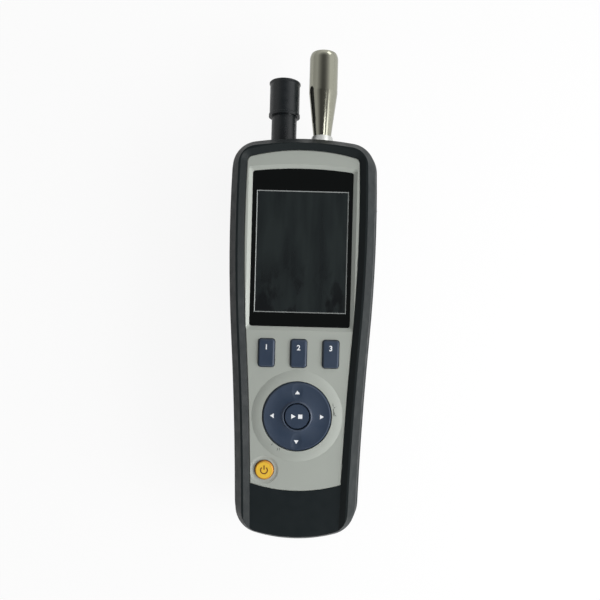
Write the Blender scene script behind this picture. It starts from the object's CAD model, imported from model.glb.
"""Looks of the handheld particle counter, which lies on its back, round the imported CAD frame."""

from math import cos, pi, radians, sin

import bmesh
import bpy
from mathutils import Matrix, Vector
from mathutils.bvhtree import BVHTree
from mathutils.geometry import tessellate_polygon


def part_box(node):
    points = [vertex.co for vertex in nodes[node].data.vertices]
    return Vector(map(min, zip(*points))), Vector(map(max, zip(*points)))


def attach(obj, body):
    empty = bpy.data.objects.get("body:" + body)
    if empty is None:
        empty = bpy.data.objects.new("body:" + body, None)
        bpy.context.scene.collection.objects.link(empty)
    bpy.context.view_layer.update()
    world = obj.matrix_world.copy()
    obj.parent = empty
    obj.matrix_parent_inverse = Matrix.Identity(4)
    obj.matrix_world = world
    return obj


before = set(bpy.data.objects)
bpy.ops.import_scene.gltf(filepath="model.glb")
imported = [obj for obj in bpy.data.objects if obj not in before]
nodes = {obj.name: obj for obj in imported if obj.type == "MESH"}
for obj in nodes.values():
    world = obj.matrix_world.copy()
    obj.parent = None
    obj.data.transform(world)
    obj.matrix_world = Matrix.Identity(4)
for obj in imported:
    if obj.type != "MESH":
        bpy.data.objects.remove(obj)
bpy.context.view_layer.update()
MM = 0.001

# ------------------------------------------------------------------ places read from the frame


def middle(node):
    low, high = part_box(node)
    return (low + high) / 2


window_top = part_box("display_window")[1].z
nav = middle("nav_ring")
power = middle("power_button")

# The display's own area in its module, a little below the middle, and the bright line round it
view_half = Vector((21.6, 28.8)) * MM
view_mid = middle("lcd_module") - Vector((0.0, 0.35, 0.0)) * MM
frame_line = 0.45 * MM


# ------------------------------------------------------------------ materials


class Shading:
    """A node tree and short ways to join its nodes."""

    def __init__(self, tree, coordinates):
        self.tree = tree
        self.place = self.node("ShaderNodeTexCoord").outputs[coordinates]

    def node(self, kind, **settings):
        made = self.tree.nodes.new(kind)
        for key, value in settings.items():
            setattr(made, key, value)
        return made

    def put(self, socket, value):
        if isinstance(value, bpy.types.NodeSocket):
            self.tree.links.new(value, socket)
        else:
            socket.default_value = value

    def ramp(self, value, low, high, to_low, to_high):
        node = self.node("ShaderNodeMapRange", clamp=True)
        for key, number in zip(("From Min", "From Max", "To Min", "To Max"), (low, high, to_low, to_high)):
            node.inputs[key].default_value = number
        self.put(node.inputs["Value"], value)
        return node.outputs["Result"]

    def math(self, operation, first, second=0.0):
        node = self.node("ShaderNodeMath", operation=operation)
        self.put(node.inputs[0], first)
        self.put(node.inputs[1], second)
        return node.outputs["Value"]

    def axes(self):
        node = self.node("ShaderNodeSeparateXYZ")
        self.put(node.inputs[0], self.place)
        return node.outputs["X"], node.outputs["Y"], node.outputs["Z"]


class Finish(Shading):
    """A material, with textures that stay where they are on the object."""

    def __init__(self, name):
        self.material = bpy.data.materials.new(name)
        self.material.use_nodes = True
        super().__init__(self.material.node_tree, "Object")
        self.shader = self.tree.nodes["Principled BSDF"]

    def set(self, **inputs):
        """Sets the shader's sockets, written with _ for a space."""
        for key, value in inputs.items():
            self.put(self.shader.inputs[key.replace("_", " ")], value)
        return self

    def stretched(self, scale):
        mapping = self.node("ShaderNodeMapping")
        self.put(mapping.inputs["Vector"], self.place)
        mapping.inputs["Scale"].default_value = scale
        return mapping.outputs["Vector"]

    def noise(self, size, detail=2.0, stretch=None):
        """Noise whose blotches are about that size, in metres."""
        texture = self.node("ShaderNodeTexNoise")
        self.put(texture.inputs["Vector"], self.stretched(stretch) if stretch else self.place)
        texture.inputs["Scale"].default_value = 1 / size
        texture.inputs["Detail"].default_value = detail
        return texture.outputs["Fac"]

    def cells(self, size):
        texture = self.node("ShaderNodeTexVoronoi")
        self.put(texture.inputs["Vector"], self.place)
        texture.inputs["Scale"].default_value = 1 / size
        return texture.outputs["Distance"]

    def mix(self, share, first, second):
        node = self.node("ShaderNodeMix", data_type="RGBA")
        self.put(node.inputs["Factor"], share)
        self.put(node.inputs["A"], (*first, 1.0) if isinstance(first, tuple) else first)
        self.put(node.inputs["B"], (*second, 1.0) if isinstance(second, tuple) else second)
        return node.outputs["Result"]

    def within(self, value, low, high, soft):
        """1 between two limits and 0 outside them."""
        rising = self.ramp(value, low - soft, low + soft, 0.0, 1.0)
        falling = self.ramp(value, high - soft, high + soft, 1.0, 0.0)
        return self.math("MULTIPLY", rising, falling)

    def uneven_gloss(self, size, roughness, spread):
        return self.ramp(self.noise(size, 4.0), 0.3, 0.7, roughness - spread, roughness + spread)

    def bump(self, height, depth):
        node = self.node("ShaderNodeBump")
        node.inputs["Distance"].default_value = depth
        self.put(node.inputs["Height"], height)
        return node.outputs["Normal"]


cloud_size = 18 * MM
wear_size = 5 * MM


def shade(colour, factor):
    return tuple(channel * factor for channel in colour)


def moulded(name, colour, roughness, grain=0.35, depth=0.02, tone=0.06, spread=0.07, **inputs):
    """Moulded plastic or rubber: an eroded grain, a faint cloud in its tone and uneven gloss."""
    finish = Finish(name)
    cloud = finish.noise(cloud_size, 3.0)
    colour_out = finish.mix(cloud, shade(colour, 1 - tone), shade(colour, 1 + tone))
    gloss = finish.uneven_gloss(wear_size, roughness, spread)
    grain_out = finish.bump(finish.noise(grain * MM, 3.0), depth * MM)
    return finish.set(Base_Color=colour_out, Roughness=gloss, Normal=grain_out, **inputs).material


def metal(name, colour, roughness, lines=None, depth=0.004, spread=0.05, **inputs):
    """Metal with fine turned lines across the axis that they run round."""
    finish = Finish(name)
    cloud = finish.noise(9 * MM, 3.0)
    colour_out = finish.mix(cloud, shade(colour, 0.94), shade(colour, 1.03))
    gloss = finish.uneven_gloss(3 * MM, roughness, spread)
    stretch = {None: None, "Y": (0.02, 1.0, 0.02), "Z": (0.02, 0.02, 1.0)}[lines]
    scratches = finish.bump(finish.noise(0.12 * MM, 2.0, stretch), depth * MM)
    return finish.set(Base_Color=colour_out, Metallic=1.0, Roughness=gloss, Normal=scratches, **inputs).material


def window_finish():
    """Clear pane with a printed black border, over a display that is switched off."""
    finish = Finish("window_pane")
    x, y, _ = finish.axes()
    soft_edge = 0.03 * MM
    inside = finish.math(
        "MULTIPLY",
        finish.within(x, view_mid.x - view_half.x, view_mid.x + view_half.x, soft_edge),
        finish.within(y, view_mid.y - view_half.y, view_mid.y + view_half.y, soft_edge),
    )
    border = (0.0014, 0.0022, 0.0022)
    dim, bright = (0.011, 0.0145, 0.0155), (0.0185, 0.024, 0.0245)
    smudged = (0.006, 0.0075, 0.0085)
    streaks = finish.noise(6 * MM, 2.0, (1.0, 0.16, 1.0))
    display = finish.mix(finish.ramp(streaks, 0.35, 0.65, 0.0, 1.0), dim, bright)
    smudge = finish.ramp(finish.noise(8 * MM, 3.0, (1.0, 0.45, 1.0)), 0.5, 0.6, 0.0, 1.0)
    low_half = finish.ramp(y, view_mid.y - 22 * MM, view_mid.y + 2 * MM, 1.0, 0.0)
    display = finish.mix(finish.math("MULTIPLY", smudge, low_half), display, smudged)
    colour = finish.mix(inside, border, display)
    gloss = finish.ramp(finish.noise(14 * MM, 3.0), 0.3, 0.7, 0.04, 0.1)
    ripple = finish.bump(finish.noise(25 * MM, 1.0), 0.02 * MM)
    return finish.set(Base_Color=colour, Roughness=gloss, Normal=ripple, Specular_IOR_Level=0.5).material


def rubber_finish():
    """Soft-touch rim, satin where hands rub it on top and matt down its sides."""
    finish = Finish("rim_rubber")
    _, _, z = finish.axes()
    flank_top, rim_foot = 45 * MM, 52 * MM
    sheen = finish.ramp(z, flank_top, rim_foot, 0.015, 0.15)
    cloud = finish.noise(cloud_size, 3.0)
    colour = finish.mix(cloud, (0.0085, 0.0120, 0.0128), (0.0118, 0.0160, 0.0170))
    gloss = finish.uneven_gloss(wear_size, 0.44, 0.07)
    grain = finish.bump(finish.noise(0.35 * MM, 3.0), 0.016 * MM)
    return finish.set(Base_Color=colour, Roughness=gloss, Normal=grain, Specular_IOR_Level=sheen).material


def board_finish():
    """Green solder mask with faint tracks."""
    finish = Finish("circuit_board")
    tracks = finish.cells(2.2 * MM)
    colour = finish.mix(finish.ramp(tracks, 0.42, 0.46, 0.0, 1.0), (0.01, 0.11, 0.035), (0.02, 0.17, 0.06))
    return finish.set(Base_Color=colour, Roughness=0.35, Normal=finish.bump(tracks, 0.02 * MM)).material


def yellow_finish():
    """Power key: yellow, and darker orange down its rim."""
    finish = Finish("power_key")
    x, y, _ = finish.axes()
    away = finish.math(
        "SQRT",
        finish.math(
            "ADD",
            finish.math("POWER", finish.math("SUBTRACT", x, power.x), 2.0),
            finish.math("POWER", finish.math("SUBTRACT", y, power.y), 2.0),
        ),
    )
    flat_radius, rim_radius = 3.5 * MM, 4.3 * MM
    rim = finish.ramp(away, flat_radius, rim_radius, 0.0, 1.0)
    colour = finish.mix(rim, (0.80, 0.50, 0.045), (0.50, 0.20, 0.012))
    gloss = finish.ramp(finish.noise(2 * MM, 3.0), 0.3, 0.7, 0.34, 0.48)
    grain = finish.bump(finish.noise(0.3 * MM), 0.01 * MM)
    return finish.set(Base_Color=colour, Roughness=gloss, Normal=grain).material


GREY = moulded("housing_grey", (0.37, 0.395, 0.36), 0.42, grain=0.3, depth=0.008, tone=0.03)
RUBBER = rubber_finish()
PANEL = moulded("panel_black", (0.0075, 0.0115, 0.013), 0.46, grain=0.3, depth=0.014, tone=0.1, Specular_IOR_Level=0.2)
BLACK = moulded("housing_black", (0.012, 0.015, 0.016), 0.5, grain=0.45, depth=0.035, tone=0.1)
NAVY = moulded("key_navy", (0.025, 0.041, 0.072), 0.42, grain=0.3, depth=0.008, tone=0.1)
SENSOR = moulded("sensor_black", (0.008, 0.0105, 0.0125), 0.3, grain=0.6, depth=0.012, tone=0.1)
SILICONE = moulded("silicone", (0.34, 0.36, 0.38), 0.55)
FRAME_PLASTIC = moulded("bracket_plastic", (0.6, 0.6, 0.57), 0.5)
PUMP_PLASTIC = moulded("pump_plastic", (0.55, 0.57, 0.6), 0.4)
SLEEVE = moulded("battery_sleeve", (0.03, 0.08, 0.32), 0.3, grain=2.0, depth=0.03)
DARK = moulded("dark_plastic", (0.015, 0.015, 0.016), 0.45)
LEGEND = moulded("legend_white", (0.86, 0.88, 0.9), 0.5, depth=0.004, tone=0.02)
CRACK = moulded("crack_dark", (0.055, 0.06, 0.055), 0.6, depth=0.004)
LEGEND_BROWN = moulded("legend_brown", (0.16, 0.045, 0.008), 0.5, depth=0.004)
STEEL = metal("plated_steel", (0.62, 0.62, 0.6), 0.3, "Z")
BRASS = metal("brass_insert", (0.72, 0.52, 0.22), 0.28, "Z")
CASTING = metal("cast_alloy", (0.6, 0.61, 0.62), 0.45, depth=0.02)
COLLAR = metal("collar_satin", (0.62, 0.63, 0.61), 0.4, "Y", spread=0.08)
CHROME = metal("probe_polished", (0.36, 0.36, 0.295), 0.12, "Y", depth=0.0022, spread=0.03)
SILVER_LINE = moulded("display_frame", (0.26, 0.275, 0.27), 0.4, depth=0.003, Specular_IOR_Level=0.3)
WINDOW = window_finish()
BOARD = board_finish()
YELLOW = yellow_finish()

FINISHES = {
    "front_housing": GREY,
    "bumper_overmould": RUBBER,
    "port_cover": RUBBER,
    "lower_front_panel": PANEL,
    "rear_housing": BLACK,
    "battery_cover": BLACK,
    "battery_cover_screw": STEEL,
    "joint_screws": STEEL,
    "tripod_insert": BRASS,
    "display_window": WINDOW,
    "lcd_module": DARK,
    "lcd_bracket": FRAME_PLASTIC,
    "function_key_1": NAVY,
    "function_key_2": NAVY,
    "function_key_3": NAVY,
    "nav_ring": NAVY,
    "nav_actuator": SILICONE,
    "run_stop_button": NAVY,
    "power_button": YELLOW,
    "keypad_mat": SILICONE,
    "dome_switches": STEEL,
    "main_board": BOARD,
    "board_screws": STEEL,
    "buzzer": DARK,
    "port_board": BOARD,
    "usb_socket": STEEL,
    "dc_jack": DARK,
    "card_slot": STEEL,
    "sensor_neck": SENSOR,
    "humidity_sensor": BOARD,
    "sensor_cap": SENSOR,
    "inlet_collar": COLLAR,
    "probe_o_ring": DARK,
    "isokinetic_probe": CHROME,
    "inlet_tube": SILICONE,
    "optical_chamber": CASTING,
    "laser_module": BRASS,
    "light_trap": DARK,
    "photodetector_board": BOARD,
    "pump_head": PUMP_PLASTIC,
    "pump_motor": STEEL,
    "pump_tube": SILICONE,
    "exhaust_tube": SILICONE,
    "exhaust_filter": PUMP_PLASTIC,
    "battery_pack": SLEEVE,
    "battery_contacts": STEEL,
}
for name, node in nodes.items():
    node.data.materials.clear()
    node.data.materials.append(FINISHES[name])


# ------------------------------------------------------------------ printed legends and the display's frame


INK = 0.03 * MM  # half the thickness of a print


def ridden_piece(name, data, material, body):
    """Visible piece of its own that rides on a body."""
    data.materials.clear()
    data.materials.append(material)
    made = bpy.data.objects.new(name, data)
    bpy.context.scene.collection.objects.link(made)
    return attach(made, body)


def from_bmesh(name, mesh, material, body):
    data = bpy.data.meshes.new(name)
    mesh.to_mesh(data)
    mesh.free()
    return ridden_piece(name, data, material, body)


def surface_of(node):
    data = nodes[node].data
    return BVHTree.FromPolygons([v.co for v in data.vertices], [p.vertices for p in data.polygons])


def printed(name, outlines, node, body, material, ink=INK):
    """Thin print of flat outlines, laid on the top of a node."""
    ground = surface_of(node)
    clearance = 5 * MM
    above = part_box(node)[1].z + clearance
    mesh = bmesh.new()
    for outline in outlines:
        heights = [ground.ray_cast(Vector((x, y, above)), Vector((0, 0, -1)))[0].z for x, y in outline]
        top = [mesh.verts.new((x, y, z + ink)) for (x, y), z in zip(outline, heights)]
        foot = [mesh.verts.new((x, y, z - ink)) for (x, y), z in zip(outline, heights)]
        for a, b, c in tessellate_polygon([[Vector((x, y, 0.0)) for x, y in outline]]):
            mesh.faces.new((top[a], top[b], top[c]))
            mesh.faces.new((foot[c], foot[b], foot[a]))
        for i in range(len(top)):
            j = (i + 1) % len(top)
            mesh.faces.new((top[j], top[i], foot[i], foot[j]))
    bmesh.ops.recalc_face_normals(mesh, faces=mesh.faces[:])
    return from_bmesh(name, mesh, material, body)


def arc(mid, radius, start, end, steps):
    """Points on a circle between two angles in degrees."""
    for i in range(steps + 1):
        angle = radians(start + (end - start) * i / steps)
        yield mid[0] + radius * cos(angle), mid[1] + radius * sin(angle)


def triangle(mid, half, height, turn):
    """Arrow head that points along the angle turn."""
    tip, left, right = (height / 2, 0), (-height / 2, half), (-height / 2, -half)
    c, s = cos(radians(turn)), sin(radians(turn))
    return [(mid[0] + x * c - y * s, mid[1] + x * s + y * c) for x, y in (tip, left, right)]


def bar(mid, half_width, half_height):
    x, y = mid
    return [
        (x - half_width, y - half_height),
        (x + half_width, y - half_height),
        (x + half_width, y + half_height),
        (x - half_width, y + half_height),
    ]


def numeral(text, mid, height, node, body):
    """Plain number printed on a key."""
    figure_share = 0.72  # of the font's size that a figure is high
    curve = bpy.data.curves.new("numeral", "FONT")
    curve.body = text
    curve.size = height / figure_share
    curve.align_x = "CENTER"
    curve.align_y = "CENTER"
    curve.offset = 0.03 * height
    curve.extrude = INK
    curve.resolution_u = 6
    source = bpy.data.objects.new("numeral", curve)
    data = bpy.data.meshes.new_from_object(source)
    bpy.data.objects.remove(source)
    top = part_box(node)[1].z
    for vertex in data.vertices:
        vertex.co += Vector((mid[0], mid[1], top))
    return ridden_piece(f"{node}_numeral", data, LEGEND, body)


key_mark_rise = 2.7 * MM
key_mark_height = 2.5 * MM
for number in "123":
    key = f"function_key_{number}"
    centre = middle(key)
    numeral(number, (centre.x, centre.y + key_mark_rise), key_mark_height, key, key)

# The four arrows of the disc, at their reach from its middle in millimetres
arrow_half = 1.15 * MM
arrow_height = 1.8 * MM
for name, turn, reach in (("right", 0, 11.9), ("up", 90, 11.4), ("left", 180, 11.9), ("down", 270, 12.3)):
    tip = (nav.x + reach * MM * cos(radians(turn)), nav.y + reach * MM * sin(radians(turn)))
    printed(f"nav_arrow_{name}", [triangle(tip, arrow_half, arrow_height, turn)], "nav_ring", "nav_ring", LEGEND)

stop_half = 1.0 * MM
run_half = 1.15 * MM
run_height = 2.1 * MM
printed(
    "run_stop_mark",
    [
        triangle((nav.x - 1.6 * MM, nav.y), run_half, run_height, 0),
        bar((nav.x + 1.65 * MM, nav.y), stop_half, stop_half),
    ],
    "run_stop_button",
    "run_stop_button",
    LEGEND,
)

ring_outer = 1.9 * MM
ring_inner = 1.35 * MM
ring_steps = 32
gap_left, gap_right = 130, 410  # degrees, the ring is open at its top
stroke_half_width = 0.28 * MM
stroke_half_height = 1.0 * MM
centre = (power.x, power.y)
outer_side = arc(centre, ring_outer, gap_left, gap_right, ring_steps)
inner_side = arc(centre, ring_inner, gap_right, gap_left, ring_steps)
printed(
    "power_mark",
    [[*outer_side, *inner_side], bar((power.x, power.y + 1.3 * MM), stroke_half_width, stroke_half_height)],
    "power_button",
    "power_button",
    LEGEND_BROWN,
)


def hairline(points, width):
    """Outline of a thin crack along a few points, narrow at its ends."""
    end_share = 0.35
    left, right = [], []
    for i, point in enumerate(points):
        before, after = points[max(i - 1, 0)], points[min(i + 1, len(points) - 1)]
        along = (Vector(after) - Vector(before)).normalized()
        share = end_share if i in (0, len(points) - 1) else 1.0
        side = Vector((-along.y, along.x)) * width * share / 2
        left.append(tuple(Vector(point) + side))
        right.append(tuple(Vector(point) - side))
    return left + right[::-1]


# Hairline cracks in the grey face beside the disc, in millimetres from the disc's middle
crack_width = 0.34 * MM
crack_ink = 0.008 * MM
cracks = [
    ((18.7, 5.1), (17.8, 4.6), (17.25, 3.9), (17.45, 2.7), (17.9, 1.6), (18.2, 0.6)),
    ((17.0, 6.7), (17.05, 5.7), (17.25, 4.6)),
    ((17.5, 0.7), (18.2, 0.75), (18.9, 0.6)),
    ((17.45, 2.6), (17.3, 1.6), (17.6, 0.7)),
    ((-8.9, -15.3), (-8.85, -15.9), (-9.0, -16.7)),
    ((-7.9, -15.2), (-7.9, -15.8), (-8.05, -16.6)),
    ((-11.3, -13.2), (-11.6, -13.8), (-11.9, -14.2)),
]
printed(
    "bezel_cracks",
    [hairline([(nav.x + x * MM, nav.y + y * MM) for x, y in line], crack_width) for line in cracks],
    "front_housing",
    "housing",
    CRACK,
    crack_ink,
)


def display_frame():
    """Bright bead round the display's area, its inner side sloping down to the pane."""
    foot = window_top - 0.02 * MM
    loops = [
        (frame_line, foot),
        (frame_line, window_top + 0.1 * MM),
        (frame_line * 0.75, window_top + 0.24 * MM),
        (0.0, window_top + 0.01 * MM),
        (0.0, foot),
    ]
    mesh = bmesh.new()
    rings = []
    for grown, height in loops:
        half_x, half_y = view_half.x + grown, view_half.y + grown
        corners = ((-half_x, -half_y), (half_x, -half_y), (half_x, half_y), (-half_x, half_y))
        rings.append([mesh.verts.new((view_mid.x + x, view_mid.y + y, height)) for x, y in corners])
    for lower, upper in zip(rings, rings[1:] + rings[:1]):
        for i in range(4):
            j = (i + 1) % 4
            mesh.faces.new((lower[i], lower[j], upper[j], upper[i]))
    return from_bmesh("display_frame_line", mesh, SILVER_LINE, "housing")


display_frame()

# ------------------------------------------------------------------ floor, light and camera


WHITE = (1.0, 1.0, 1.0, 1.0)


def mixed_light(shading, lit, seen, share, mirrored):
    """Gives light with one shader, and shows another to the camera and, mirrored, in metal and glass."""
    rays = shading.node("ShaderNodeLightPath").outputs
    factor = shading.math("MULTIPLY", rays["Is Camera Ray"], share)
    for ray in ("Is Glossy Ray", "Is Transmission Ray"):
        factor = shading.math("MAXIMUM", factor, shading.math("MULTIPLY", rays[ray], mirrored))
    mix = shading.node("ShaderNodeMixShader")
    shading.put(mix.inputs["Fac"], factor)
    shading.put(mix.inputs[1], lit)
    shading.put(mix.inputs[2], seen)
    return mix.outputs["Shader"]


scene = bpy.context.scene

floor_half = 4.0
floor_gap = 0.05 * MM
floor_data = bpy.data.meshes.new("floor")
floor_corners = [(x * floor_half, y * floor_half, 0) for x, y in ((-1, -1), (1, -1), (1, 1), (-1, 1))]
floor_data.from_pydata(floor_corners, [], [(0, 1, 2, 3)])
floor = bpy.data.objects.new("floor", floor_data)
floor.location.z = -floor_gap
scene.collection.objects.link(floor)
paper_colour = (0.9, 0.9, 0.9, 1.0)
paper = Finish("floor_paper").set(Base_Color=paper_colour, Roughness=0.9)
paper_glow = paper.node("ShaderNodeEmission").outputs["Emission"]
floor_share, floor_mirrored = 0.9, 0.35
paper.put(
    paper.tree.nodes["Material Output"].inputs["Surface"],
    mixed_light(paper, paper.shader.outputs["BSDF"], paper_glow, floor_share, floor_mirrored),
)
floor_data.materials.append(paper.material)

scene.world = bpy.data.worlds.new("studio")
scene.world.use_nodes = True
studio = Shading(scene.world.node_tree, "Generated")
toward_x, _, toward_z = studio.axes()

# The light is stronger from low down and from the window's side
sky = studio.tree.nodes["Background"]
sky.inputs["Color"].default_value = WHITE
height_glow = studio.ramp(toward_z, 0.1, 0.95, 0.95, 0.16)
side_glow = studio.ramp(toward_x, -0.6, 0.8, 0.35, 1.7)
studio.put(sky.inputs["Strength"], studio.math("MULTIPLY", height_glow, side_glow))

# What the camera and metal see darkens overhead to the ceiling, and is paler on the window's side
seen = studio.node("ShaderNodeBackground")
seen.inputs["Color"].default_value = WHITE
overhead = studio.ramp(toward_z, 0.55, 0.93, 1.0, 0.12)
sideways = studio.ramp(toward_x, -0.9, 0.1, 0.6, 1.0)
studio.put(seen.inputs["Strength"], studio.math("MULTIPLY", overhead, sideways))
studio.put(
    studio.tree.nodes["World Output"].inputs["Surface"],
    mixed_light(studio, sky.outputs["Background"], seen.outputs["Background"], 1.0, 1.0),
)


def soft_box(name, place, size, radiance):
    """Area light of an even radiance, turned to the object."""
    lamp = bpy.data.lights.new(name, "AREA")
    lamp.shape = "RECTANGLE"
    lamp.size, lamp.size_y = size
    lamp.energy = radiance * pi * size[0] * size[1]
    made = bpy.data.objects.new(name, lamp)
    made.location = place
    made.rotation_euler = (-Vector(place)).to_track_quat("-Z", "Y").to_euler()
    made.visible_camera = False
    scene.collection.objects.link(made)


soft_box("side_window", (1.3, -0.45, 0.75), (1.5, 1.1), 1.9)
soft_box("near_side", (0.42, -0.13, 0.32), (0.28, 0.24), 6.5)
soft_box("over_right", (0.42, 0.07, 1.0), (0.2, 0.26), 4.5)
soft_box("near_window", (0.35, -1.1, 0.75), (0.35, 0.5), 2.0)
soft_box("far_window", (0.8, 1.15, 0.7), (0.6, 0.6), 2.0)

camera_height = 317 * MM
camera_x = 11.8 * MM
camera_y = -4.15 * MM
face_height = 55 * MM
camera_roll = 1.5  # degrees
focal_share = 548 / 600  # of the picture's width
sensor_width = 36.0
camera_data = bpy.data.cameras.new("camera")
camera_data.sensor_width = sensor_width
camera_data.lens = sensor_width * focal_share
camera_data.clip_start = 10 * MM
camera = bpy.data.objects.new("camera", camera_data)
camera.location = (camera_x, camera_y, camera_height)
camera_data.shift_x = -focal_share * camera_x / (camera_height - face_height)
camera.rotation_euler = (0.0, 0.0, radians(camera_roll))
scene.collection.objects.link(camera)
scene.camera = camera
scene.view_settings.view_transform = "Standard"
